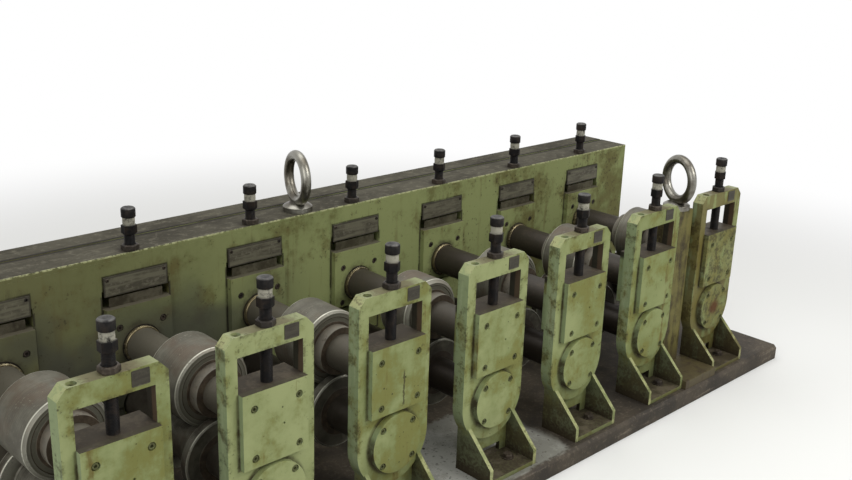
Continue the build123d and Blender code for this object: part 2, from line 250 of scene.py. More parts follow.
def greenPaint(where, edge=0.0):
    # old green paint on a casting: fading, olive stains, oil runs, spots, painted shade with dirt beside
    # the plate and round the cover, painted shade deeper in the window, painted light on the sides, bare
    # tops, and chips on edges
    look = greenLook
    x, y, z = split(where)
    turnX, turnY, turnZ = facing(where)
    broad = noise(where, 4.5, 3)
    patchy = noise(where, 21, 5, 0.64)
    fine = noise(where, 130, 4, 0.6)
    runs = noise(stretched(where, 30, 30, 3.4), 1.0, 4, 0.65)
    across = withinStation(x)
    aside = size(across)
    sides = rise(turnX * turnX, 0.3, 0.8)
    lying = rise(turnZ, 0.6, 0.9)
    roof = standTop - look["windowRoof"]
    blockRoof = look["blockRoof"]
    onCasting = rise(y, standFront - 0.0015, standFront - 0.0005)
    onPlates = rise(y, standFront - 0.0005, standFront - 0.0015)
    onPlates = onPlates * rise(z, look["gussetRoof"] - 0.005, look["gussetRoof"] + 0.005)
    atEnd = rise(x, centreX[7] - 0.17, centreX[7] - 0.10)
    besideEnd = rise(x, centreX[6] - 0.06, centreX[6] + 0.10) * 0.35
    # fading, duller towards the far end, with paler streaks on the sides, whose bluer tint is painted light
    paint = Paint(where, look, "light")
    paint.over(rise(broad + patchy * 0.6, 0.60, 1.00), "dark")
    paint.over(rise(x, centreX[4], centreX[6]) * 0.5, "dark")
    # painted light: faces turned to the sides take a cool tint, as of the light falling on them
    paint.over(sides * 0.8, "blue")
    paint.over(sides * rise(runs + fine * 0.2, 0.60, 0.74) * 0.6, "streak")
    # olive stains in blotches and runs, and oil over the last stand
    blotched = rise(patchy * 0.7 + broad * 0.6 + runs * 0.3, 0.76, 0.94)
    paint.over(blotched * 0.75, "stain")
    oiled = rise(runs + patchy * 0.35 + besideEnd * 0.3 + atEnd * 0.17, 0.78, 0.95)
    oiled = oiled * (1 - atEnd * 0.15) * (1 - atEnd * onPlates * 0.55)
    paint.over(oiled * 0.85, "oil")
    # painted shade with dirt: dark lines on the casting beside the plate and round the cover, and darker side
    # faces of both
    fromCover = fromAxis(across, z, lowerAxis)
    fromPlate = outside(across, look["plateHalf"], z, look["plateLow"], chockTop)
    coverRadius = look["coverRadius"]
    shadeBeside = rise(fromPlate, 0.0075, 0.0020) * rise(z, chockTop + 0.002, chockTop - 0.004)
    shadeBeside = larger(shadeBeside, rise(fromCover, coverRadius + 0.012, coverRadius + 0.003))
    shadeBeside = shadeBeside * onCasting * rise(y, standFront + 0.004, standFront + 0.002)
    shadeAndDirt = (0.55 + 0.45 * rise(patchy, 0.40, 0.60)) * 0.9
    paint.over(shadeBeside * shadeAndDirt, "grimeAndShade")
    # painted shade on the plate's side faces, and painted shade with oily dirt on the cover's rim
    rims = (1 - onCasting) * rise(size(turnY), 0.75, 0.45) * rise(turnZ, 0.5, 0.2)
    onPlateSide = rise(z, look["plateLow"] - 0.006, look["plateLow"] - 0.002)
    onPlateSide = onPlateSide * rise(aside, look["plateHalf"] + 0.0012, look["plateHalf"] + 0.0008)
    onPlateSide = onPlateSide * (0.15 + 0.70 * rise(y, standFront - 0.006, standFront - 0.002))
    rims = rims * larger(onPlateSide, rise(fromCover, coverRadius + 0.0025, coverRadius + 0.0015))
    paint.over(rims * (0.55 + 0.45 * rise(patchy, 0.40, 0.58)) * 0.95, "grimeAndShade")
    # darker towards the foot, most on the gussets' sides
    low = rise(z + patchy * 0.14, 0.31, 0.19) * (0.22 + 0.68 * sides)
    low = low + rise(z + patchy * 0.10, 0.15, 0.09) * 0.35
    paint.over(low * (0.80 + 0.20 * rise(fine + patchy, 0.85, 1.1)), "grimeAndShade")
    # spots, small and smaller, and dirt that clings to the edges
    dots = spots(where, 38, 0.12, 0.16) + spots(where, 90, 0.17, 0.16) * rise(broad, 0.42, 0.60)
    dots = dots * (1 + atEnd * 0.5) * (1 - rise(aside, 0.05, 0.09) * 0.3)
    paint.over(dots * 0.8, "bare")
    flecks = rise(fine + patchy * 0.5, 0.88, 0.97) * (0.45 + 0.55 * rise(aside, 0.055, 0.10))
    paint.over(flecks * 0.55, "grimeAndShade")
    atEdge = rise(aside, look["standHalf"] - 0.0115, look["standHalf"] - 0.0015)
    atWindow = rise(aside, look["windowHalf"] + 0.0091, look["windowHalf"] + 0.0016)
    atWindow = atWindow * rise(z, chockTop - 0.02, chockTop) * rise(z, roof + 0.009, roof)
    atEdge = larger(larger(atEdge, atWindow), rise(z, standTop - 0.012, standTop - 0.002))
    edgeDirt = atEdge * rise(patchy + fine * 0.5, 0.72, 0.90) * onCasting * rise(z, 0.16, 0.20)
    paint.over(edgeDirt * 0.55, "grimeAndShade")
    # a seam on the third plate and a mottled last one
    fromSeam = size(x - centreX[3] - look["seamAt"] + (fine - 0.5) * 0.010)
    seam = rise(fromSeam, 0.0034, 0.0016) * rise(z, look["seamHigh"], look["seamHigh"] - 0.015)
    seam = seam * rise(z, look["seamLow"], look["seamLow"] + 0.008)
    paint.over(seam * onPlates * 0.75, "grimeAndShade")
    mottled = atEnd * onPlates * rise(noise(where, 55, 5, 0.7), 0.44, 0.64)
    paint.over(mottled * 0.70, "grimeAndShade")
    # inside the window, with painted shade further in; on the block's top, the casting's top and the foot
    inWindow = rise(aside, look["windowHalf"] + 0.0008, look["windowHalf"])
    inWindow = inWindow * rise(z, blockRoof - 0.016, blockRoof) * rise(z, roof + 0.0002, roof - 0.0004)
    inWindow = inWindow * rise(y, standFront + 0.0005, standFront + 0.0015)
    seen = standFront + look["depthSeen"]
    # painted shade: the window's inner faces turn darker beyond the depth seen
    inside = mix(rise(y + patchy * 0.006, seen + 0.001, seen + 0.004), look["window"], look["windowShade"])
    paint.over(inWindow * 0.95, inside)
    onLedge = lying * rise(z, blockRoof - 0.016, blockRoof) * rise(z, standTop - 0.02, standTop - 0.03)
    ledge = mix(rise(patchy + fine * 0.5, 0.66, 1.0) * 0.75, look["ledge"], look["dust"])
    paint.over(onLedge * 0.96, ledge)
    fromNut = fromAxis(across, y, standScrewY) + (patchy - 0.5) * 0.10
    onTop = lying * rise(z, standTop - 0.002, standTop - 0.0005)
    topColour = mix(rise(fromNut, 0.045, 0.085), look["worn"], look["corner"])
    topColour = mix(rise(fine + patchy * 0.8, 0.98, 1.10) * 0.5, topColour, look["grimeAndShade"])
    paint.over(onTop * 0.85, topColour)
    onFoot = lying * rise(z, 0.12, 0.10)
    footColour = mix(rise(patchy + broad * 0.3, 0.60, 0.80), look["foot"], look["dust"])
    paint.over(onFoot * (0.80 + 0.2 * rise(fine, 0.60, 0.45)), footColour)
    # a rusty middle on the last cover
    rusty = atEnd * onPlates * rise(fromCover + patchy * 0.03, 0.054, 0.024)
    paint.over(rusty * 0.92, "rust")
    # worn rims of the gussets, and rubbed slopes of the cut corners at the top
    onRim = rise(y, standFront - 0.001, standFront - 0.004) * rise(z, 0.26, 0.24) * (1 - sides)
    onRim = onRim * rise(aside, look["gussetHalf"] - 0.0005, look["gussetHalf"] + 0.0005)
    paint.over(onRim * rise(patchy + fine * 0.15, 0.50, 0.66) * 0.65, "pale")
    paint.over(onRim * rise(fine * 0.5 + patchy * 0.7, 0.66, 0.74) * 0.5, "bare")
    onSlope = rise(turnZ, 0.45, 0.60) * rise(turnX * turnX, 0.20, 0.35)
    onSlope = onSlope * rise(z, standTop - 0.030, standTop - 0.025)
    paint.over(onSlope * rise(patchy + fine * 0.4, 0.54, 0.78) * 0.75, "pale")
    paint.over(onSlope * rise(fine * 0.6 + patchy * 0.7, 0.70, 0.78) * 0.6, "worn")
    if edge:
        shown = edge * (1 - onLedge * 0.4) * (1 - onFoot * 0.6)
        paint.over(rise(patchy + fine * 0.4, 0.52, 0.74) * shown, "pale")
        paint.over(rise(fine * 0.7 + patchy * 0.5, 0.63, 0.68) * shown, "bare")
    height = fine * 0.25 + noise(where, 420, 2) * 0.15 + patchy * 0.5 - dots * 0.8
    rough = 0.64 - oiled * 0.20 - low * 0.08 + fine * 0.1
    return paint.sockets(rough, height, depth=0.0007, strength=0.6, sheen=0.15)


boxLook = {
    "green": tone(128, 135, 88), "shade": tone(102, 108, 66), "left": tone(90, 88, 58),
    "brown": tone(92, 84, 48), "greyBehindRolls": tone(64, 64, 56), "pale": tone(178, 180, 134),
    "bare": tone(48, 43, 33), "shadeLine": tone(36, 32, 26), "strip": tone(82, 77, 64),
    "stripLine": tone(128, 118, 102),
    # half widths from the middle of a station, then heights of the scale plate and of the block's plate
    "scaleHalf": 0.085, "plateHalf": 0.090, "pointerHalf": 0.076,
    "scaleLow": 0.542, "scaleHigh": 0.592, "plateLow": 0.24, "pointerTop": 0.539, "ledgeLow": 0.50,
}


def boxPaint(where, edge=0.0):
    # the drive box: the same green, browner to the left, greyer behind the first rolls, spotted at its
    # right end, with painted shade and dirt in lines round the plates and runs below them, and bare strips
    # over the blocks
    look = boxLook
    x, y, z = split(where)
    turnX, turnY, turnZ = facing(where)
    broad = noise(where, 2.8, 4)
    patchy = noise(where, 16, 5, 0.64)
    fine = noise(where, 120, 4, 0.6)
    runs = noise(stretched(where, 34, 34, 2.6), 1.0, 5, 0.65)
    across = withinStation(x)
    aside = size(across)
    onFront = rise(y, boxFront + 0.002, boxFront + 0.0008)
    nearFront = rise(y, boxFront + 0.020, boxFront + 0.012)
    toRight = rise(x, 0.0, 0.7)
    paint = Paint(where, look, "green")
    paint.over(rise(broad + patchy * 0.5, 0.66, 0.92), "shade")
    paint.over(rise(x + broad * 0.4, 0.1, -0.9) * 0.85, "left")
    paint.over(rise(runs + patchy * 0.25, 0.68, 0.86) * 0.5, "brown")
    blotches = rise(patchy * 0.8 + broad * 0.5 + toRight * 0.04, 0.64, 0.82)
    plainBack = rise(y, boxFront + 0.04, boxFront + 0.14) * 0.45
    paint.over(blotches * (0.65 - plainBack), "brown")
    # a darker grey, low on the front behind the first rolls
    greyBehindRolls = rise(x, centreX[4] - 0.1, centreX[3] - 0.2) * rise(z + broad * 0.2, 0.70, 0.52)
    greyBehindRolls = greyBehindRolls * rise(noise(stretched(where, 3.4, 3.4, 4.0), 1.0, 3), 0.30, 0.52) * onFront
    paint.over(greyBehindRolls * 0.85, "greyBehindRolls")
    # spots, many at the right
    dots = spots(where, 30, 0.11, 0.14) + spots(where, 66, 0.15, 0.18) * (0.3 + 0.7 * toRight)
    dots = dots + spots(stretched(where, 1.3, 1.3, 0.5), 48, 0.13, 0.30) * toRight
    flecks = rise(fine + patchy * 0.5 + toRight * 0.04, 0.89, 0.98)
    paint.over(larger(dots * 0.75, flecks * 0.55), "bare")
    # painted shade with dirt in lines beside the blocks and round the scale plates, smudges by the shafts
    fromScale = outside(across, look["scaleHalf"], z, look["scaleLow"], look["scaleHigh"])
    fromBlock = outside(across, look["plateHalf"], z, look["plateLow"], 0.54)
    besideBlock = rise(fromBlock, 0.0065, 0.0020) * rise(fromBlock, -0.003, -0.001)
    # painted shade: dark lines on the front where the plates stand out from it
    shadeLines = larger(rise(fromScale, 0.0055, 0.0015), besideBlock)
    paint.over(shadeLines * onFront * rise(patchy, 0.32, 0.50) * 0.85, "shadeLine")
    soiled = rise(fromScale + patchy * 0.06, 0.050, 0.028) * rise(runs, 0.50, 0.66)
    paint.over(soiled * nearFront * 0.4, "bare")
    smudge = rise(fromAxis(across, z, upperAxis) + patchy * 0.08, 0.108, 0.086)
    paint.over(smudge * nearFront * 0.75, "bare")
    # bare metal on the pointer strip and on the ledge under it, a pale line under the box's top edge
    onPointer = rise(z, innerTop - 0.0006, innerTop + 0.0004) * nearFront
    onPointer = onPointer * rise(z, look["pointerTop"] + 0.0005, look["pointerTop"] - 0.0005)
    onPointer = onPointer * rise(aside, look["pointerHalf"] + 0.0005, look["pointerHalf"] - 0.0005)
    stripColour = mix(rise(patchy + fine * 0.3, 0.50, 0.80), look["strip"], look["bare"])
    paint.over(onPointer * 0.95, stripColour)
    lying = rise(turnZ, 0.6, 0.9) * rise(z, innerTop + 0.002, innerTop + 0.0005) * nearFront
    lying = lying * rise(z, look["ledgeLow"], look["ledgeLow"] + 0.008)
    paint.over(lying * 0.9, "strip")
    underEdge = rise(z, boxTop - 0.0045, boxTop - 0.0025) * onFront
    paint.over(underEdge * rise(patchy * 0.4 + fine * 0.6, 0.42, 0.56) * 0.8, "pale")
    if edge:
        rubbed = mix(larger(onPointer, lying), look["pale"], look["stripLine"])
        paint.over(rise(patchy + fine * 0.4, 0.56, 0.78) * edge, rubbed)
        paint.over(rise(fine * 0.7 + patchy * 0.5, 0.64, 0.69) * edge, "bare")
    height = fine * 0.25 + noise(where, 420, 2) * 0.15 + patchy * 0.5 - dots * 0.8
    rough = 0.62 + fine * 0.12 - greyBehindRolls * 0.06
    return paint.sockets(rough, height, depth=0.0007, strength=0.55, sheen=0.15)


wornLook = {
    # of each finish: its main tone, its stains and rubbed patches, then metal, roughness and sheen
    "sunk": ((92, 95, 61), (70, 70, 45), (110, 115, 76), 0.0, 0.7, 0.2),
    "recess": ((78, 78, 50), (54, 50, 34), (92, 95, 62), 0.0, 0.7, 0.2),
    "hole": ((34, 30, 26), (52, 46, 36), (70, 62, 50), 0.3, 0.5, 0.5),
    "dark": ((42, 38, 34), (60, 52, 43), (84, 76, 66), 0.2, 0.42, 0.2),
    # the brass's pale patches are painted glints
    "brass": ((146, 134, 102), (92, 82, 62), (200, 188, 152), 0.85, 0.24, 0.5),
    "rubber": ((30, 28, 27), (40, 36, 32), (50, 45, 40), 0.0, 0.5, 0.5),
}


def wornSteel(where, finish):
    # small parts gone dull: two broad tones, rubbed patches, which on the brass are painted glints, dark
    # specks
    main, stain, patch, metal, rough, sheen = wornLook[finish]
    look = {"main": tone(*main), "stain": tone(*stain), "patch": tone(*patch), "speck": tone(36, 31, 27)}
    broad = noise(where, 9, 5, 0.6)
    fine = noise(where, 150, 4, 0.6)
    paint = Paint(where, look, "main")
    paint.over(rise(broad + fine * 0.2, 0.46, 0.76), "stain")
    # rubbed patches; on the brass, painted glints
    paint.over(rise(fine + broad * 0.6, 0.76, 1.04) * 0.7, "patch")
    paint.over(spots(where, 60, 0.14, 0.12) * 0.5, "speck")
    rough = rough + fine * 0.25 - broad * 0.12
    return paint.sockets(rough, fine + broad * 0.8, depth=0.0005, strength=0.5, metal=metal, sheen=sheen)


stripLook = {
    "grey": tone(76, 73, 62), "brown": tone(54, 51, 42), "worn": tone(98, 94, 80),
    "edge": tone(168, 170, 128), "mottle": tone(106, 102, 88), "slot": tone(34, 31, 26),
    "nut": tone(50, 44, 38), "speck": tone(38, 34, 30), "chip": tone(176, 174, 138),
    "slotBehind": 0.1135,  # how far the slot lies behind the box's front
}


def stripSteel(where, edge=0.0):
    # the strips on the drive box: grey-brown, worn along the row, dark beside the slot and round the
    # nuts, chipped along the edges
    look = stripLook
    x, y, z = split(where)
    broad = noise(where, 5, 4, 0.6)
    along = noise(stretched(where, 7, 60, 60), 1.0, 5, 0.62)
    fine = noise(where, 120, 4, 0.62)
    paint = Paint(where, look, "grey")
    paint.over(rise(broad + along * 0.5, 0.62, 0.92), "brown")
    paint.over(rise(along + fine * 0.25, 0.68, 0.84) * 0.7, "worn")
    frontEdge = rise(y, boxFront + 0.0045, boxFront + 0.0020) * rise(fine + along * 0.4, 0.60, 0.78)
    paint.over(frontEdge * 0.85, "edge")
    fromSlot = size(y - (boxFront + look["slotBehind"])) + (along - 0.5) * 0.010
    mottled = rise(noise(where, 42, 5, 0.7), 0.50, 0.66) * rise(fromSlot, 0.010, 0.020)
    paint.over(mottled * 0.55, "mottle")
    paint.over(rise(fromSlot, 0.017, 0.008) * 0.9, "slot")
    fromNut = fromAxis(withinStation(x), y, boxScrewY) + broad * 0.02
    paint.over(rise(fromNut, 0.052, 0.030) * 0.6, "nut")
    paint.over(spots(where, 46, 0.12, 0.14) * 0.5, "speck")
    if edge:
        paint.over(rise(fine + broad * 0.4, 0.62, 0.78) * edge, "chip")
    return paint.sockets(0.66 + fine * 0.2, fine + along, depth=0.0006, strength=0.5, sheen=0.10)


plateLook = {
    "grey": tone(96, 93, 76), "dull": tone(66, 62, 50), "rubbed": tone(122, 118, 100),
    "rim": tone(40, 36, 29), "halfWidth": 0.081, "low": 0.546, "high": 0.588,
}


def plateSteel(where):
    # blank scale plates: grey, streaked along their length, with painted shade round the rim
    look = plateLook
    x, y, z = split(where)
    streaks = noise(stretched(where, 10, 10, 110), 1.0, 4, 0.6)
    patchy = noise(where, 32, 4, 0.6)
    fine = noise(where, 150, 3, 0.6)
    paint = Paint(where, look, "grey")
    paint.over(rise(streaks + patchy * 0.4, 0.58, 0.84), "dull")
    paint.over(rise(fine + streaks * 0.6, 0.86, 1.02) * 0.4, "rubbed")
    # painted shade round the plate's rim
    rim = outside(withinStation(x), look["halfWidth"], z, look["low"], look["high"])
    onScale = rise(z, look["low"] - 0.016, look["low"] - 0.006)
    paint.over(rise(rim, -0.001, 0.002) * onScale * 0.7, "rim")
    rough = 0.5 + fine * 0.2
    return paint.sockets(rough, fine + streaks, depth=0.0004, strength=0.5, metal=0.2, sheen=0.35)


baseLook = {
    "dark": tone(44, 39, 32), "brown": tone(68, 60, 49), "worn": tone(98, 90, 76),
    "scraped": tone(122, 112, 98), "bare": tone(152, 152, 144), "patchDull": tone(116, 115, 106),
    "speck": tone(34, 31, 28),
    # where the light patch begins and is full: along the row from both ends, then in depth
    "left": (-0.200, -0.159), "right": (0.250, 0.206), "front": (-0.440, -0.420), "back": (-0.089, -0.109),
}


def basePlateSteel(where):
    # the base: oily dark brown, scraped lighter along its front, with a light patch between the
    # middle stands
    look = baseLook
    x, y, z = split(where)
    broad = noise(where, 7, 5, 0.6)
    fine = noise(where, 95, 5, 0.68)
    scrape = noise(stretched(where, 5, 60, 60), 1.0, 4, 0.6)
    paint = Paint(where, look, "dark")
    paint.over(rise(broad, 0.38, 0.64), "brown")
    paint.over(rise(fine + broad * 0.4, 0.72, 0.90) * 0.6, "worn")
    scraped = rise(scrape + fine * 0.2, 0.66, 0.82) * rise(y, standFront - 0.06, standFront - 0.09)
    paint.over(scraped * 0.7, "scraped")
    wander = (broad - 0.5) * 0.14 + (fine - 0.5) * 0.03
    patch = rise(x + wander, *look["left"]) * rise(x - wander, *look["right"])
    patch = patch * rise(y + wander, *look["front"]) * rise(y - wander, *look["back"])
    patch = patch * rise(z, baseTop - 0.004, baseTop - 0.001)
    bare = mix(rise(broad + fine * 0.3, 0.56, 0.76), look["bare"], look["patchDull"])
    paint.over(patch * rise(fine, 0.30, 0.45), bare)
    paint.over(patch * spots(where, 24, 0.13, 0.35), "speck")
    rough = 0.52 + fine * 0.3
    return paint.sockets(rough, fine + broad, depth=0.0010, strength=0.6, metal=0.1, sheen=0.3)


turnedLook = {
    "body": tone(116, 114, 102), "bodyDull": tone(92, 89, 79), "groove": tone(76, 72, 62),
    "fleck": tone(140, 138, 124), "brown": tone(60, 50, 39), "brownPale": tone(80, 69, 55),
    "tint": tone(98, 84, 70), "face": tone(88, 86, 74), "shaft": tone(94, 90, 78),
    # rim is a painted highlight
    "oily": tone(44, 38, 31), "rim": tone(176, 175, 160),
}


def turnedSteel(where, low=0.0):
    # rolls and shafts: fine rings follow the path of the profile; rims carry a painted highlight, hubs
    # brown, the shafts greyish at the left of the row and black with oil at its right
    look = turnedLook
    x, y, z = split(where)
    path, bright, brown, onShaft = (painted(where, name) for name in ("path", "bright", "brown", "shaft"))
    ringSockets = {"W": path, "Scale": 420.0, "Detail": 3.0}
    rings = path.node("ShaderNodeTexNoise", {"noise_dimensions": "1D"}, ringSockets)
    smudge = noise(where, 15, 5, 0.62)
    fine = noise(where, 150, 4, 0.6)
    toRight = rise(x, centreX[2], centreX[5])
    paint = Paint(where, look, "body")
    paint.over(rise(smudge, 0.36, 0.66), "bodyDull")
    paint.over(rise(noise(where, 7, 4, 0.6), 0.46, 0.62) * 0.7, "tint")
    paint.over(rise(rings, 0.40, 0.70) * 0.5, "groove")
    paint.over(rise(fine + smudge * 0.5, 0.86, 1.00) * 0.5, "fleck")
    paint.over(rise(brown, 0.0, 0.3) * 0.75, "face")
    hub = mix(rise(noise(where, 34, 5, 0.7), 0.42, 0.62), look["brown"], look["brownPale"])
    paint.over(rise(brown, 0.3, 1.0), hub)
    dirty = toRight * 0.8 + low * 0.6 + 0.1
    dirty = dirty.math("MINIMUM", dirty, 1.0)
    shaftColour = mix(dirty, look["shaft"], look["oily"])
    shaftColour = mix(rise(fine + smudge * 0.6, 0.84, 1.0) * 0.35, shaftColour, look["brownPale"])
    paint.over(onShaft, shaftColour)
    if low:
        paint.over(rise(smudge + toRight * 0.12, 0.40, 0.66) * low, "oily")
    # painted highlight along the rims and flange edges, where the profile's rows are bright
    paint.over(bright * rise(fine + smudge, 0.66, 0.96), "rim")
    rough = 0.48 + fine * 0.15 + brown * 0.14 - bright * 0.14 - onShaft * dirty * 0.10
    height = rings * 0.6 + fine * 0.3 + smudge * 0.5
    metal = 0.5 - brown * 0.3 - onShaft * 0.1
    return paint.sockets(rough, height, depth=0.00035, strength=0.5, metal=metal, sheen=0.35)


oiledLook = {
    "black": tone(22, 21, 21), "oil": tone(42, 36, 31), "rubbed": tone(156, 153, 138),
    "cap": tone(104, 103, 100),
}


def screwSteel(where):
    # adjusting screws: oily black, the ring under the cap rubbed pale, the cap's top and rim a painted sheen
    # of grey
    rubbed = painted(where, "bright")
    capTop = painted(where, "top")
    fine = noise(where, 190, 4, 0.65)
    patchy = noise(where, 45, 4, 0.6)
    paint = Paint(where, oiledLook, "black")
    paint.over(rise(patchy, 0.40, 0.70), "oil")
    paint.over(rubbed * rise(patchy + fine * 0.6, 0.50, 0.84), "rubbed")
    # painted sheen: the cap's top and its rounded rim lighter grey
    paint.over(capTop * rise(patchy + fine * 0.4, 0.40, 0.80), "cap")
    rough = 0.38 + fine * 0.2
    return paint.sockets(rough, fine + patchy, depth=0.0004, strength=0.5, metal=capTop * 0.4, sheen=0.08)


forgedLook = {"bright": tone(138, 136, 127), "dull": tone(92, 87, 77), "brown": tone(60, 54, 46)}


def eyeSteel(where):
    # forged eye bolts, polished by slings, with brown left in the hollows
    patchy = noise(where, 14, 4, 0.55)
    fine = noise(where, 150, 3, 0.6)
    paint = Paint(where, forgedLook, "bright")
    paint.over(rise(patchy, 0.42, 0.66), "dull")
    paint.over(rise(fine + patchy * 0.5, 0.86, 1.0) * 0.5, "brown")
    return paint.sockets(0.22 + fine * 0.2, fine * 0.4 + patchy, depth=0.0006, strength=0.5, metal=0.95)


postLook = {
    "yellow": tone(104, 98, 54), "brown": tone(52, 44, 27), "pale": tone(128, 120, 80),
    "foot": tone(66, 56, 44), "speck": tone(38, 32, 24),
}


def postSteel(where):
    # the lifting post: brown and yellow with old oil that ran down it
    x, y, z = split(where)
    runs = noise(stretched(where, 40, 40, 3.0), 1.0, 5, 0.62)
    patchy = noise(where, 18, 5, 0.62)
    fine = noise(where, 130, 4, 0.6)
    paint = Paint(where, postLook, "yellow")
    paint.over(rise(runs * 0.7 + patchy * 0.6, 0.54, 0.78), "brown")
    paint.over(rise(runs * 0.5 + fine * 0.4 + patchy * 0.5, 0.76, 0.90) * 0.5, "pale")
    paint.over(rise(z + patchy * 0.1, 0.20, 0.10) * 0.8, "foot")
    paint.over(spots(where, 44, 0.12, 0.16) * 0.6, "speck")
    rough = 0.42 + fine * 0.2 + patchy * 0.1
    return paint.sockets(rough, fine + runs, depth=0.0006, strength=0.5, sheen=0.24)


materials = {
    "green": newMaterial("green_casting", greenPaint),
    "greenEdge": newMaterial("green_edge", greenPaint, edge=0.9),
    "sunk": newMaterial("painted_bolts", wornSteel, finish="sunk"),
    "recess": newMaterial("bolt_recesses", wornSteel, finish="recess"),
    "box": newMaterial("box_green", boxPaint),
    "boxEdge": newMaterial("box_edge", boxPaint, edge=1.0),
    "hole": newMaterial("dark_hole", wornSteel, finish="hole"),
    "strip": newMaterial("strip_steel", stripSteel),
    "stripEdge": newMaterial("strip_edge", stripSteel, edge=0.95),
    "plate": newMaterial("plate_grey", plateSteel),
    "base": newMaterial("base_steel", basePlateSteel),
    "turned": newMaterial("turned_steel", turnedSteel),
    "turnedLow": newMaterial("turned_steel_low", turnedSteel, low=0.7),
    "screw": newMaterial("screw_steel", screwSteel),
    "dark": newMaterial("dark_steel", wornSteel, finish="dark"),
    "eye": newMaterial("eye_steel", eyeSteel),
    "post": newMaterial("post_steel", postSteel),
    "brass": newMaterial("seal_brass", wornSteel, finish="brass"),
    "rubber": newMaterial("seal_rubber", wornSteel, finish="rubber"),
}
print("materials made:", len(materials))


def frameOf(axis):  # two directions square to an axis, so that side x up = axis
    axis = np.array(axis, float)
    side = np.cross(upward, axis) if abs(axis[2]) < 0.9 else np.array((1.0, 0, 0))
    side = side / np.linalg.norm(side)
    return axis, side, np.cross(axis, side)


def lathe(profile, centre, axis, columns=48, closed=False):
    # a profile of (along, radius[, half flats]) carried round an axis: centre + along*axis
    # + r*(cos t*side + sin t*up), where half flats cuts r to a hexagon's side, on a grid of rows by columns
    rows = np.array([tuple(row) + (0.0,) * (3 - len(row)) for row in profile])
    axis, side, up = frameOf(axis)
    angle = np.arange(columns) * tau / columns
    toFlat = np.cos((angle + pi / 6) % (pi / 3) - pi / 6)
    radius = np.repeat(rows[:, 1:2], columns, 1)
    flats = np.repeat(rows[:, 2:3], columns, 1)
    radius = np.where(flats > 0, np.minimum(radius, flats / toFlat), radius)
    spoke = np.cos(angle)[:, None] * side + np.sin(angle)[:, None] * up
    points = np.array(centre) + rows[:, 0, None, None] * axis + radius[..., None] * spoke
    return points.reshape(-1, 3), gridFaces(len(rows), columns, closed)


def gridFaces(rows, columns, closed=False):
    # quads of a grid whose columns join up; its rows do too if closed, or a face closes each end
    count = rows if closed else rows - 1
    row = np.repeat(np.arange(count), columns)
    column = np.tile(np.arange(columns), count)
    nextRow, nextColumn = (row + 1) % rows, (column + 1) % columns
    quads = np.stack([row * columns + column, row * columns + nextColumn,
                      nextRow * columns + nextColumn, nextRow * columns + column], 1)
    last = count * columns
    ends = [] if closed else [list(range(columns - 1, -1, -1)), list(range(last, last + columns))]
    return quads.tolist() + ends


def slab(centre, axis, width, height, thickness, corner, chamfer, columns=32):
    # a plate with round corners: the outline is a rectangle's corner centres plus corner*(cos t, sin t),
    # carried along the axis through rows that draw in by the chamfer at the outer face
    axis, side, up = frameOf(axis)
    angle = (np.arange(columns) + 0.5) * tau / columns
    direction = np.stack([np.cos(angle), np.sin(angle)], 1)
    rows = np.array([(0.0, 0.0), (thickness - chamfer, 0.0), (thickness, chamfer)])
    spread = corner - rows[:, 1, None, None]
    middle = np.sign(direction) * (np.array([width, height]) / 2 - corner)
    outline = middle + spread * direction
    points = (np.array(centre) + rows[:, 0, None, None] * axis
              + outline[..., :1] * side + outline[..., 1:] * up)
    return points.reshape(-1, 3), gridFaces(len(rows), columns)


def joined(shapes):  # several shapes as one, each a pair of points and faces
    points, faces, start = [], [], 0
    for shapePoints, shapeFaces in shapes:
        points.append(shapePoints)
        faces += [[start + index for index in face] for face in shapeFaces]
        start += len(shapePoints)
    return np.concatenate(points), faces


def meshOf(name, shape, attributes=None, sharp=26):
    points, faces = shape
    mesh = bpy.data.meshes.new(name)
    mesh.from_pydata(points.tolist(), [], faces)
    for label, values in (attributes or {}).items():
        mesh.attributes.new(label, "FLOAT", "POINT").data.foreach_set("value", np.array(values, np.float32))
    mesh.shade_smooth()
    mesh.set_sharp_from_angle(angle=radians(sharp))
    return mesh


def addPiece(name, mesh, body, slot, finishes, *stoodFor):
    # a finished piece: its materials in order, the body it rides on and the nodes it stands for; the slot is
    # not used
    piece = linked(name, mesh)
    flats = piece.modifiers.new("flats", "WEIGHTED_NORMAL")
    flats.keep_sharp = True
    mesh.materials.clear()
    for finish in finishes:
        mesh.materials.append(materials[finish])
    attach(piece, body)
    if stoodFor:
        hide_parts(*stoodFor)
    return piece


def addSteel(name, shapes, body, finish, *stoodFor):  # bolts, screws, nuts and rings
    addPiece(name, meshOf(name, joined(shapes)), body, "dark_steel", [finish], *stoodFor)


def cleanCopy(node, top=None, behind=-1.0):
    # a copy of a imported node's mesh, merged, with flat faces made whole; what lies above top is left
    # out, if it also lies behind or higher than the drive box
    work = bmesh.new()
    work.from_mesh(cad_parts[node].data)
    bmesh.ops.remove_doubles(work, verts=work.verts, dist=2e-5)
    if top is not None:
        above = [corner for corner in work.verts
                 if corner.co.z > top and (corner.co.y > behind or corner.co.z > standTop - 0.06)]
        bmesh.ops.delete(work, geom=above, context="VERTS")
    bmesh.ops.dissolve_limit(work, angle_limit=radians(0.5), verts=work.verts, edges=work.edges)
    mesh = bpy.data.meshes.new(node)
    work.to_mesh(mesh)
    work.free()
    return mesh


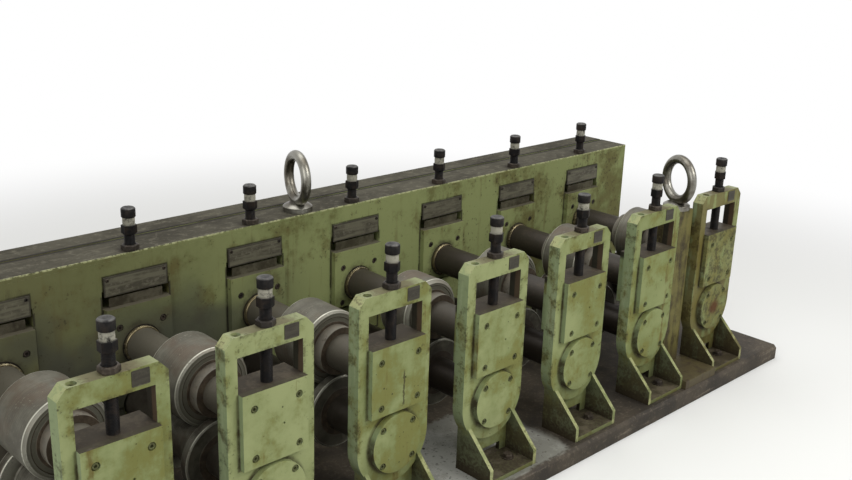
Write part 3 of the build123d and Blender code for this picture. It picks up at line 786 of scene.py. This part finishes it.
def worked(mesh, bevel, drills=None, segments=2):
    # edges rounded, on faces of the second material, then holes drilled, lined with the third
    piece = linked(mesh.name, mesh)
    for _ in range(3):
        mesh.materials.append(materials["green"])
    rounding = piece.modifiers.new("rounding", "BEVEL")
    rounding.width = bevel
    rounding.segments = segments
    rounding.limit_method = "ANGLE"
    rounding.angle_limit = radians(32)
    rounding.material = 1
    cutter = None
    if drills:
        cutMesh = meshOf("drill", joined(drills))
        for _ in range(3):
            cutMesh.materials.append(materials["green"])
        cutMesh.polygons.foreach_set("material_index", np.full(len(cutMesh.polygons), 2))
        cutter = linked("drill", cutMesh)
        cut = piece.modifiers.new("drilling", "BOOLEAN")
        cut.object = cutter
        cut.solver = "EXACT"
    evaluated = piece.evaluated_get(bpy.context.evaluated_depsgraph_get())
    finished = bpy.data.meshes.new_from_object(evaluated)
    bpy.data.objects.remove(piece)
    if cutter:
        bpy.data.objects.remove(cutter)
    finished.shade_smooth()
    finished.set_sharp_from_angle(angle=radians(26))
    return finished


def hole(x, y, z, radius, depth, columns=20):  # a drill along Y whose mouth is just in front of y
    return lathe([(-0.002, radius), (depth, radius)], (x, y, z), (0, 1, 0), columns)


def socketHead(place, axis, radius, height):
    # a socket cap screw: rounded rim, hexagon socket sunk in its top
    wrench = radius * 0.52
    profile = [(0, radius), (height - 0.0008, radius), (height, radius - 0.0008), (height, wrench * 1.3),
               (height, wrench * 1.2, wrench), (height - radius * 0.6, wrench * 1.2, wrench)]
    return lathe(profile, place, axis, 24)


def hexHead(place, axis, flats, height, washer):
    # a hexagon bolt on its washer: the cone of each chamfer cuts the hexagon's corners
    half, corner = flats / 2, flats / 2 / cos(pi / 6)
    foot = 0.0025
    profile = [(0, washer), (foot, washer), (foot, corner * 0.98), (foot, corner * 0.96, half),
               (foot + 0.0015, corner * 1.02, half), (foot + height - 0.0025, corner * 1.02, half),
               (foot + height, half * 0.94, half), (foot + height + 0.0006, half * 0.80)]
    return lathe(profile, place, axis, 24)


boltLook = {
    # radius of the head and of its counterbore, how deep that is, and how far the head stays inside
    "outer": {"head": 0.0072, "mouth": 0.0092, "sunk": 0.006, "inside": 0.0015},
    "inner": {"head": 0.0075, "mouth": 0.0095, "sunk": 0.005, "inside": 0.001},
}


def sunkBolts(places, front, look):
    # the drills for counterbores at (x, z) in an upright face, and the screw heads that sit in them
    drills = [hole(x, front, z, look["mouth"], look["sunk"] + 0.002) for x, z in places]
    heads = [socketHead((x, front + look["sunk"], z), toFront, look["head"], look["sunk"] - look["inside"])
             for x, z in places]
    return drills, heads


standLook = {
    "bevel": 0.0024, "blockBevel": 0.0012, "dotAt": (0.020, 0.356), "dotRadius": 0.003, "dotDepth": 0.008,
    "plateBolts": [(-0.055, 0.411), (0.060, 0.411), (-0.054, 0.296), (0.060, 0.296)],
    "topHoleAt": (-0.076, -0.003), "topHoleRadius": 0.0105, "topHoleDepth": 0.012,
}


def topHole(x):  # the counterbore in the top of a stand, left of its screw
    look = standLook
    across, behind = look["topHoleAt"]
    mouth = (x + across, standScrewY + behind, standTop - look["topHoleDepth"])
    radius = look["topHoleRadius"]
    return lathe([(0, radius), (0.020, radius)], mouth, upward, 24)


def makeStands():
    # castings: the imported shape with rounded, chipped edges and a counterbore in the top
    for k in stations:
        mesh = worked(cleanCopy(f"outboard_stand_{k}"), standLook["bevel"], [topHole(centreX[k])])
        addPiece(f"stand_casting_{k}", mesh, "raft", "green_paint", ["green", "greenEdge", "recess"],
                 f"outboard_stand_{k}")


def makeOutboardChocks():
    # the sliding block with its face plate; four bolts sit in counterbores in the plate
    look = standLook
    across, up = look["dotAt"]
    for k in stations:
        places = [(centreX[k] + side, baseTop + level) for side, level in look["plateBolts"]]
        drills, heads = sunkBolts(places, frontPlate, boltLook["outer"])
        dot = (centreX[k] + across, frontPlate, baseTop + up)
        drills.append(hole(*dot, look["dotRadius"], look["dotDepth"], columns=12))
        block = cleanCopy(f"outboard_chock_{k}", chockTop + 0.0001)
        addPiece(f"sliding_block_{k}", worked(block, look["blockBevel"], drills), f"top_chocks_{k}",
                 "green_paint", ["green", "greenEdge", "recess"], f"outboard_chock_{k}")
        addSteel(f"plate_bolts_{k}", heads, f"top_chocks_{k}", "sunk")


innerLook = {
    "bevel": 0.0012, "bolts": [(-0.056, 0.410), (0.062, 0.408), (-0.058, 0.304), (0.066, 0.304)],
    # inner and outer radius; the seal lies behind the face plate, the ring stands before it
    "seal": (0.0455, 0.0515), "sealFront": -0.004, "sealBack": -0.011,
    "ring": (0.0454, 0.0490), "ringFront": 0.009, "ringBack": -0.002,
}


def makeInboardChocks():
    # the block in the drive box with its face plate and pointer strip, bolts, seal and brass ring on
    # the shaft
    look = innerLook
    low, high = look["seal"]
    front, back = look["sealFront"], look["sealBack"]
    seal = [(back, high), (back, low), (front, low), (front + 0.0008, low + 0.0012),
            (front + 0.0008, high - 0.0008), (front, high)]
    low, high = look["ring"]
    front, back = look["ringFront"], look["ringBack"]
    ring = [(back, high), (front * 0.45, high), (front * 0.5, high - 0.0008), (front * 0.55, high),
            (front - 0.001, high), (front, high - 0.001), (front, low), (back, low)]
    for k in stations:
        body = f"top_chocks_{k}"
        places = [(centreX[k] + across, baseTop + up) for across, up in look["bolts"]]
        drills, heads = sunkBolts(places, innerPlate, boltLook["inner"])
        block = cleanCopy(f"inboard_chock_{k}", innerTop + 0.0001, boxFront + 0.0042)
        addPiece(f"bearing_block_{k}", worked(block, look["bevel"], drills), body, "green_paint",
                 ["box", "boxEdge", "hole"], f"inboard_chock_{k}")
        addSteel(f"block_bolts_{k}", heads, body, "dark")
        for name, profile, finish in (("shaft_seal", seal, "rubber"), ("shaft_ring", ring, "brass")):
            shape = lathe(profile, (centreX[k], innerPlate, upperAxis), toFront, 64, closed=True)
            addSteel(f"{name}_{k}", [shape], body, finish)


screwLook = {
    "rodRadius": 0.0135, "pitch": 0.003, "threadDepth": 0.0011, "capHeight": 0.024, "capRadius": 0.0175,
    "ringHeight": 0.018, "ringRadius": 0.015, "hexHeight": 0.024, "hexFlats": 0.033, "neckHeight": 0.026,
    "nutHeight": 0.015, "nutFlats": 0.038,
}


def threadedRod(x, y, low, high, columns=24):
    # a thread: the radius falls by a triangle wave of height/pitch minus the turn, on a grid of height
    # by angle
    look = screwLook
    rows = max(int((high - low) / look["pitch"] * 5), 2)
    height = np.linspace(low, high, rows)[:, None]
    angle = np.arange(columns)[None, :] * tau / columns
    phase = (height / look["pitch"] - angle / tau) % 1.0
    radius = look["rodRadius"] - look["threadDepth"] * np.abs(2 * phase - 1)
    points = np.stack([x + radius * np.cos(angle), y + radius * np.sin(angle), height + 0 * angle], -1)
    return points.reshape(-1, 3), gridFaces(rows, columns)


def screwHead(x, y, top):
    # collar, rubbed ring and cap above the rod, turned about the screw's axis; only the collar is a hexagon
    look = screwLook
    capFoot = top - look["capHeight"]
    ringFoot = capFoot - look["ringHeight"]
    hexFoot = ringFoot - look["hexHeight"]
    half = look["hexFlats"] / 2
    corner = half / cos(pi / 6)
    cap, ring = look["capRadius"], look["ringRadius"]
    profile = [(hexFoot, look["rodRadius"] * 1.02), (hexFoot, half * 0.94), (hexFoot + 0.0018, corner, half),
               (ringFoot - 0.0018, corner, half), (ringFoot, ring * 0.97), (ringFoot + 0.0006, ring * 0.94),
               (ringFoot + 0.003, ring), (capFoot - 0.003, ring), (capFoot - 0.0006, ring * 0.94),
               (capFoot + 0.0004, cap * 0.95), (capFoot + 0.0014, cap), (top - 0.0032, cap),
               (top - 0.0008, cap * 0.88), (top, cap * 0.82), (top - 0.0012, cap * 0.36),
               (top - 0.0014, cap * 0.2)]
    rubbed = [0, 0, 0, 0, 0.5, 0.9, 1, 1, 0.9, 0, 0, 0, 0, 0, 0, 0]
    # how much of the cap's painted sheen each row takes
    capTop = [0, 0, 0, 0, 0, 0, 0, 0, 0, 0, 0, 0.1, 1, 0.7, 0.5, 0.5]
    columns = 36
    shape = lathe(profile, (x, y, 0), upward, columns)
    return shape, np.repeat(rubbed, columns), np.repeat(capTop, columns)


def makeScrews():
    # one piece for each screw, on the body of its chock: a threaded rod with its head
    look = screwLook
    lengths = {"stand": (standScrewY, chockTop, outerHead.z), "box": (boxScrewY, innerTop, innerHead.z)}
    for k in stations:
        for side, (y, low, top) in lengths.items():
            rodTop = top - look["capHeight"] - look["ringHeight"] - look["hexHeight"]
            inNut = rodTop - look["neckHeight"] - look["nutHeight"] - 0.004
            start = low + 0.0004 if side == "stand" else inNut
            rod = threadedRod(centreX[k], y, start, rodTop + 0.0005)
            head, rubbed, capTop = screwHead(centreX[k], y, top)
            plain = np.zeros(len(rod[0]))
            finish = {"bright": np.concatenate([plain, rubbed]), "top": np.concatenate([plain, capTop])}
            mesh = meshOf(f"{side}_screw", joined([rod, head]), finish, sharp=40)
            addPiece(f"{side}_screw_{k}", mesh, f"top_chocks_{k}", "dark_steel", ["screw"])


def makeNuts():
    # hexagon nuts with their corners cut by a cone, each a closed ring round the screw
    look = screwLook
    half = look["nutFlats"] / 2
    corner, bore = half / cos(pi / 6), look["rodRadius"] + 0.0006
    for side, y, foot in (("stand", standScrewY, standTop), ("box", boxScrewY, boxTop)):
        top = foot + look["nutHeight"]
        profile = [(foot, half * 0.95), (foot + 0.0016, corner, half), (top - 0.0022, corner, half),
                   (top, half * 0.93), (top, bore + 0.0012), (top - 0.0012, bore), (foot + 0.0012, bore),
                   (foot, bore + 0.0012)]
        nuts = [lathe(profile, (centreX[k], y, 0), upward, 36, closed=True) for k in stations]
        addSteel(f"{side}_lock_nuts", nuts, "raft", "dark", f"{side}_nuts")


coverLook = {
    "radius": 0.077, "bevel": 0.0002,
    "bolts": [(0.047, 0.047), (-0.047, 0.047), (0.047, -0.047), (-0.047, -0.047)],
}


def makeCovers():
    # bearing covers: discs with a rounded rim and four bolts in counterbores
    look = coverLook
    radius, thick = look["radius"], standFront - coverFront
    profile = [(0, radius), (thick - 0.0022, radius), (thick - 0.0007, radius - 0.0007),
               (thick, radius - 0.0024)]
    discs = [lathe(profile, (centreX[k], standFront, lowerAxis), toFront, 96) for k in stations]
    places = [(centreX[k] + across, lowerAxis + up) for k in stations for across, up in look["bolts"]]
    drills, heads = sunkBolts(places, coverFront, boltLook["outer"])
    mesh = worked(meshOf("covers", joined(discs)), look["bevel"], drills, segments=1)
    addPiece("bearing_covers", mesh, "raft", "green_paint", ["green", "greenEdge", "recess"], "round_covers")
    addSteel("cover_bolts", heads, "raft", "sunk")


arborLook = {
    # half width and bevel of the upper roll, one a station
    "halfWidths": (0.076, 0.064, 0.062, 0.056, 0.052, 0.066, 0.046),
    "rims": (0.007, 0.005, 0.006, 0.009, 0.007, 0.005, 0.011),
    # radii, then lengths; the middle of the rolls lies behind the stands' front
    "shaft": 0.045, "spacer": 0.062, "roll": 0.096, "groove": 0.079, "flange": 0.096, "corner": 0.0008,
    "spacerLength": 0.030, "flangeWidth": 0.026, "flangeEdge": 0.0035, "flangeGap": 0.006, "gap": 0.008,
    "middleBehind": 0.292,
}


def arborPiece(row, k, height, half, middle, finish):
    # half of a turned profile, as rows of (along, radius, bright, brown), where bright paints a highlight,
    # repeated backwards for the other half between the shaft's two ends; what has the shaft's radius is
    # marked as shaft
    node = f"{row}_arbor_{k}"
    low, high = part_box(node)
    shaft = arborLook["shaft"]
    other = [(2 * middle - along, *rest) for along, *rest in reversed(half)]
    rows = [(low.y, shaft - 0.002, 0, 0), (low.y + 0.002, shaft, 0, 0), (half[0][0], shaft, 0, 0),
            *half, *other,
            (other[-1][0], shaft, 0, 0), (high.y - 0.002, shaft, 0, 0), (high.y, shaft - 0.002, 0, 0)]
    profile = np.array(rows, float)
    columns = 96
    shape = lathe(profile[:, :2], (centreX[k], 0, height), (0, 1, 0), columns)
    steps = np.hypot(np.diff(profile[:, 0]), np.diff(profile[:, 1]))
    marks = {"path": np.concatenate([[0], np.cumsum(steps)]), "bright": profile[:, 2],
             "brown": profile[:, 3], "shaft": np.where(profile[:, 1] <= shaft + 1e-5, 1.0, 0.0)}
    marks = {label: np.repeat(values, columns) for label, values in marks.items()}
    addPiece(f"{row}_roll_shaft_{k}", meshOf("arbor", shape, marks), f"{row}_rolls_{k}", "roll_steel",
             [finish], node)


def makeArbors():
    # shafts with their rolls: a spacer, the roll's grooved face, its bevelled rim and half of its body;
    # on the lower ones a spacer, a flange and half of the drum between the flanges
    look = arborLook
    shaft, spacer, roll, groove = (look[name] for name in ("shaft", "spacer", "roll", "groove"))
    flange, edge, corner = look["flange"], look["flangeEdge"], look["corner"]
    middle = standFront + look["middleBehind"]
    drum = upperAxis - lowerAxis - look["gap"] - roll
    for k in stations:
        halfWidth, rim = look["halfWidths"][k - 1], look["rims"][k - 1]
        front = middle - halfWidth
        start, face = front - look["spacerLength"], front + 0.0008
        # the third number of each row is the painted highlight, strongest on the rim's edge
        half = [(start, shaft + 0.0004, 0, 1), (start, spacer - corner, 0, 1),
                (start + corner, spacer, 0.3, 1), (front - 0.0012, spacer, 0.1, 1),
                (front - 0.0012, spacer - 0.003, 0, 1), (front, spacer - 0.003, 0, 1),
                (front, spacer + 0.006, 0, 0.9), (face, spacer + 0.007, 0, 0.3),
                (face, groove - 0.0012, 0, 0.3), (face + 0.0016, groove - 0.0008, 0, 1),
                (face + 0.0016, groove + 0.0008, 0, 1), (face, groove + 0.0012, 0.15, 0.3),
                (face, roll - rim - 0.0025, 0, 0.3), (front, roll - rim - 0.0015, 0.3, 0),
                (front, roll - rim, 0.3, 0), (front + rim - 0.0016, roll - 0.0016, 0.15, 0),
                (front + rim - 0.0010, roll - 0.0008, 1, 0), (front + rim + 0.0008, roll, 1, 0),
                (front + rim + 0.0020, roll, 0, 0), (middle - halfWidth * 0.35, roll - 0.0004, 0, 0)]
        arborPiece("upper", k, upperAxis, half, middle, "turned")
        inner = front - look["flangeGap"]
        start, face = inner - look["flangeWidth"], inner - look["flangeWidth"] + 0.001
        # the third number paints a highlight on the flange's edges
        half = [(start, shaft + 0.0004, 0, 1), (start, spacer, 0, 1), (face, spacer + 0.001, 0, 0.5),
                (face, flange - edge - 0.002, 0, 0.4), (start, flange - edge - 0.001, 0.2, 0),
                (start, flange - edge, 0.2, 0), (start + edge - 0.0012, flange - 0.0012, 0.2, 0),
                (start + edge - 0.0006, flange - 0.0004, 1, 0), (start + edge + 0.0006, flange, 1, 0),
                (start + edge + 0.0016, flange, 0, 0), (inner - 0.003, flange, 0, 0),
                (inner - 0.002, flange, 0.8, 0), (inner, flange - 0.002, 0.6, 0),
                (inner, drum + 0.003, 0, 0.2), (inner + 0.003, drum, 0, 0)]
        arborPiece("lower", k, lowerAxis, half, middle, "turnedLow")


eyeLook = {
    "outer": 0.156, "bar": 0.030, "foot": 0.082, "footHeight": 0.025, "sink": 0.010,
    "turns": {"box": 75, "post": 70},  # how far each ring is turned, in degrees
}


def eyeBolt(x, y, seat, turn):
    # a ring swept by a round bar, standing on a turned collar: the ring's middle line is a circle, and
    # the bar's radius grows with the squared cosine of the angle from the foot
    look = eyeLook
    rings, columns = 64, 24
    bar = look["bar"] / 2
    middle = look["outer"] / 2 - bar
    centre = np.array((x, y, seat + look["footHeight"] - look["sink"] + look["outer"] / 2))
    level = np.array((cos(radians(turn)), sin(radians(turn)), 0.0))
    up, normal = np.array((0.0, 0, 1)), np.array((-level[1], level[0], 0.0))
    along = np.arange(rings) * tau / rings
    angle = np.arange(columns) * tau / columns
    outward = np.cos(along)[:, None] * -up + np.sin(along)[:, None] * level
    thick = bar * (0.93 + 0.07 * np.clip(np.cos(along), 0, 1) ** 2)
    points = (centre + middle * outward[:, None, :]
              + thick[:, None, None] * (np.cos(angle)[None, :, None] * outward[:, None, :]
                                        + np.sin(angle)[None, :, None] * normal))
    ring = (points.reshape(-1, 3), gridFaces(rings, columns, True))
    foot, height = look["foot"] / 2, look["footHeight"]
    profile = [(0, foot - 0.001), (0.001, foot), (height * 0.55, foot), (height * 0.62, foot - 0.0015),
               (height * 0.8, foot * 0.80), (height, foot * 0.50)]
    collar = lathe(profile, (x, y, seat), upward, 64)
    return joined([ring, collar])


def makeEyes():
    for name, turn in eyeLook["turns"].items():
        low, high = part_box(f"{name}_eye")
        shape = eyeBolt((low.x + high.x) / 2, (low.y + high.y) / 2, low.z, turn)
        addPiece(f"{name}_lifting_eye", meshOf("eye", shape, sharp=30), "raft", "eye_steel", ["eye"],
                 f"{name}_eye")


housingLook = {
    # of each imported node: the piece's name, how far its edges are rounded, its slot and its finishes
    "drive_box": ("drive_housing", 0.0022, "green_paint", ["box", "boxEdge", "hole"]),
    "top_strips": ("housing_strips", 0.0012, "strip_steel", ["strip", "stripEdge", "hole", "box"]),
    "end_plates": ("housing_ends", 0.0020, "green_paint", ["box", "boxEdge", "hole"]),
    "scale_plates": ("bare_plates", 0.0006, "plate_grey", ["plate", "plate", "hole"]),
    "base_plate": ("base_slab", 0.0020, "base", ["base", "base", "hole"]),
    "lifting_post": ("post_body", 0.0016, "post_steel", ["post", "post", "hole"]),
}


def makeHousing():
    # the drive box with its strips, end plates and scale plates, the base and the post
    for node, (name, bevel, slot, finishes) in housingLook.items():
        piece = addPiece(name, worked(cleanCopy(node), bevel), "raft", slot, finishes, node)
        if "box" in finishes[3:]:  # the strips' upright faces are painted over with the box
            for face in piece.data.polygons:
                if abs(face.normal.z) < 0.1 and face.material_index == 0:
                    face.material_index = 3


smallLook = {
    # the square plate's place, then its width, height, thickness, corner and chamfer
    "squareAt": (0.053, 0.553), "square": (0.038, 0.033, 0.0015, 0.002, 0.0004),
    "plateScrew": {"aside": 0.076, "below": 0.008, "radius": 0.0045, "height": 0.0022},
    "topScrew": {"radius": 0.0088, "inside": 0.004},
    "footBolt": {"aside": 0.040, "before": 0.030, "up": 0.012},
    "footSizes": (0.024, 0.010, 0.0165),  # across the flats, height, radius of the washer
}


def makeSmallParts():
    # square plates, and the screws of the scale plates, the stands' tops and their feet
    look = smallLook
    pairs = [(centreX[k], side) for k in stations for side in (-1, 1)]
    across, up = look["squareAt"]
    squares = [slab((centreX[k] + across, standFront, baseTop + up), toFront, *look["square"])
               for k in stations]
    addPiece("square_plates", meshOf("square_plates", joined(squares)), "raft", "plate_grey", ["plate"])
    low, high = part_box("scale_plates")
    screw = look["plateScrew"]
    screws = [socketHead((x + side * screw["aside"], low.y, high.z - screw["below"]), toFront,
                         screw["radius"], screw["height"]) for x, side in pairs]
    addSteel("plate_screws", screws, "raft", "dark")
    across, behind = standLook["topHoleAt"]
    depth = standLook["topHoleDepth"]
    cap = look["topScrew"]
    caps = [socketHead((centreX[k] + across, standScrewY + behind, standTop - depth), upward,
                       cap["radius"], depth - cap["inside"]) for k in stations]
    addSteel("stand_cap_screws", caps, "raft", "sunk")
    foot = look["footBolt"]
    bolts = [hexHead((x + side * foot["aside"], standFront - foot["before"], baseTop + foot["up"]), upward,
                     *look["footSizes"]) for x, side in pairs]
    addSteel("foot_bolts", bolts, "raft", "dark")


stageLook = {
    "ambient": 0.45, "floor": tone(232, 232, 229), "near": 1.9, "far": 3.8, "reach": 30.0,
    "lamps": [("key", (1.5, -3.2, 3.4), 2.4, 110), ("fill", (-3.6, -1.2, 2.4), 2.6, 46),
              ("top", (0.0, 0.6, 3.6), 3.0, 58)],
    "lampsLookAt": (0, 0, 0.3),
}


def seenDirectly(shade):
    # 1 for rays of the camera, of mirrors and of glass, 0 for light that falls on the object
    path = shade.node("ShaderNodeLightPath")
    outputs = path.socket.node.outputs
    seen = path
    for ray in ("Is Camera Ray", "Is Glossy Ray", "Is Transmission Ray"):
        seen = shade.math("MAXIMUM", seen, Shade(shade.tree, outputs[ray]))
    return seen


def floorPaint(where):
    # pale round the object, where it takes the shadow, and going over into the white of the backdrop
    x, y, z = split(where)
    away = root(x * x + y * y)
    white = rise(away, stageLook["near"], stageLook["far"])
    return {"Base Color": mix(white, stageLook["floor"], (0.0, 0.0, 0.0)), "Roughness": 0.9,
            "Specular IOR Level": 0.0, "Emission Strength": 1.0,
            "Emission Color": mix(white * seenDirectly(where), (0.0, 0.0, 0.0), (1.0, 1.0, 1.0))}


def makeStage():
    # a pale floor, a white world for what looks past the object, and three soft lamps
    floorMesh = bpy.data.meshes.new("floor")
    reach = stageLook["reach"]
    corners = [(-reach, -reach, 0), (reach, -reach, 0), (reach, reach, 0), (-reach, reach, 0)]
    floorMesh.from_pydata(corners, [], [(0, 1, 2, 3)])
    floor = linked("floor", floorMesh)
    floorMesh.materials.append(newMaterial("floor_pale", floorPaint))
    world = bpy.data.worlds.new("studio")
    scene.world = world
    world.use_nodes = True
    world.node_tree.nodes.clear()
    sky = Shade(world.node_tree)
    strength = seenDirectly(sky) * (1 - stageLook["ambient"]) + stageLook["ambient"]
    back = sky.node("ShaderNodeBackground", {}, {"Color": (1, 1, 1), "Strength": strength})
    back.node("ShaderNodeOutputWorld", {}, {"Surface": back})
    target = Vector(stageLook["lampsLookAt"])
    for name, place, width, power in stageLook["lamps"]:
        light = bpy.data.lights.new(name, "AREA")
        light.size = width
        light.energy = power
        lamp = linked(name, light)
        lamp.location = place
        lamp.rotation_mode = "QUATERNION"
        lamp.rotation_quaternion = (target - Vector(place)).to_track_quat("-Z", "Y")


cameraLook = {"place": (-1.855, -1.972, 1.4586), "yaw": 44.316, "pitch": 17.816, "roll": 1.892, "lens": 43.85}


def makeCamera():
    # placed by a fit of the row's corners in the photo
    yaw, pitchDown, roll = (radians(cameraLook[name]) for name in ("yaw", "pitch", "roll"))
    forward = Vector((sin(yaw) * cos(pitchDown), cos(yaw) * cos(pitchDown), -sin(pitchDown)))
    level = Vector((cos(yaw), -sin(yaw), 0))
    straight = level.cross(forward)
    right = level * cos(roll) + straight * sin(roll)
    above = straight * cos(roll) - level * sin(roll)
    data = bpy.data.cameras.new("camera")
    data.sensor_width = 36
    data.lens = cameraLook["lens"]
    data.clip_end = 100
    camera = linked("camera", data)
    turn = Matrix((right, above, -forward)).transposed()
    camera.matrix_world = Matrix.Translation(cameraLook["place"]) @ turn.to_4x4()
    scene.camera = camera


makeCamera()
makeStands()
print("stands made")
makeOutboardChocks()
makeInboardChocks()
print("chocks made")
makeScrews()
makeNuts()
makeCovers()
print("screws, nuts and covers made")
makeArbors()
makeEyes()
print("arbors and eyes made")
makeHousing()
makeSmallParts()
print("housing and small parts made")
makeStage()
scene.view_settings.view_transform = "Standard"
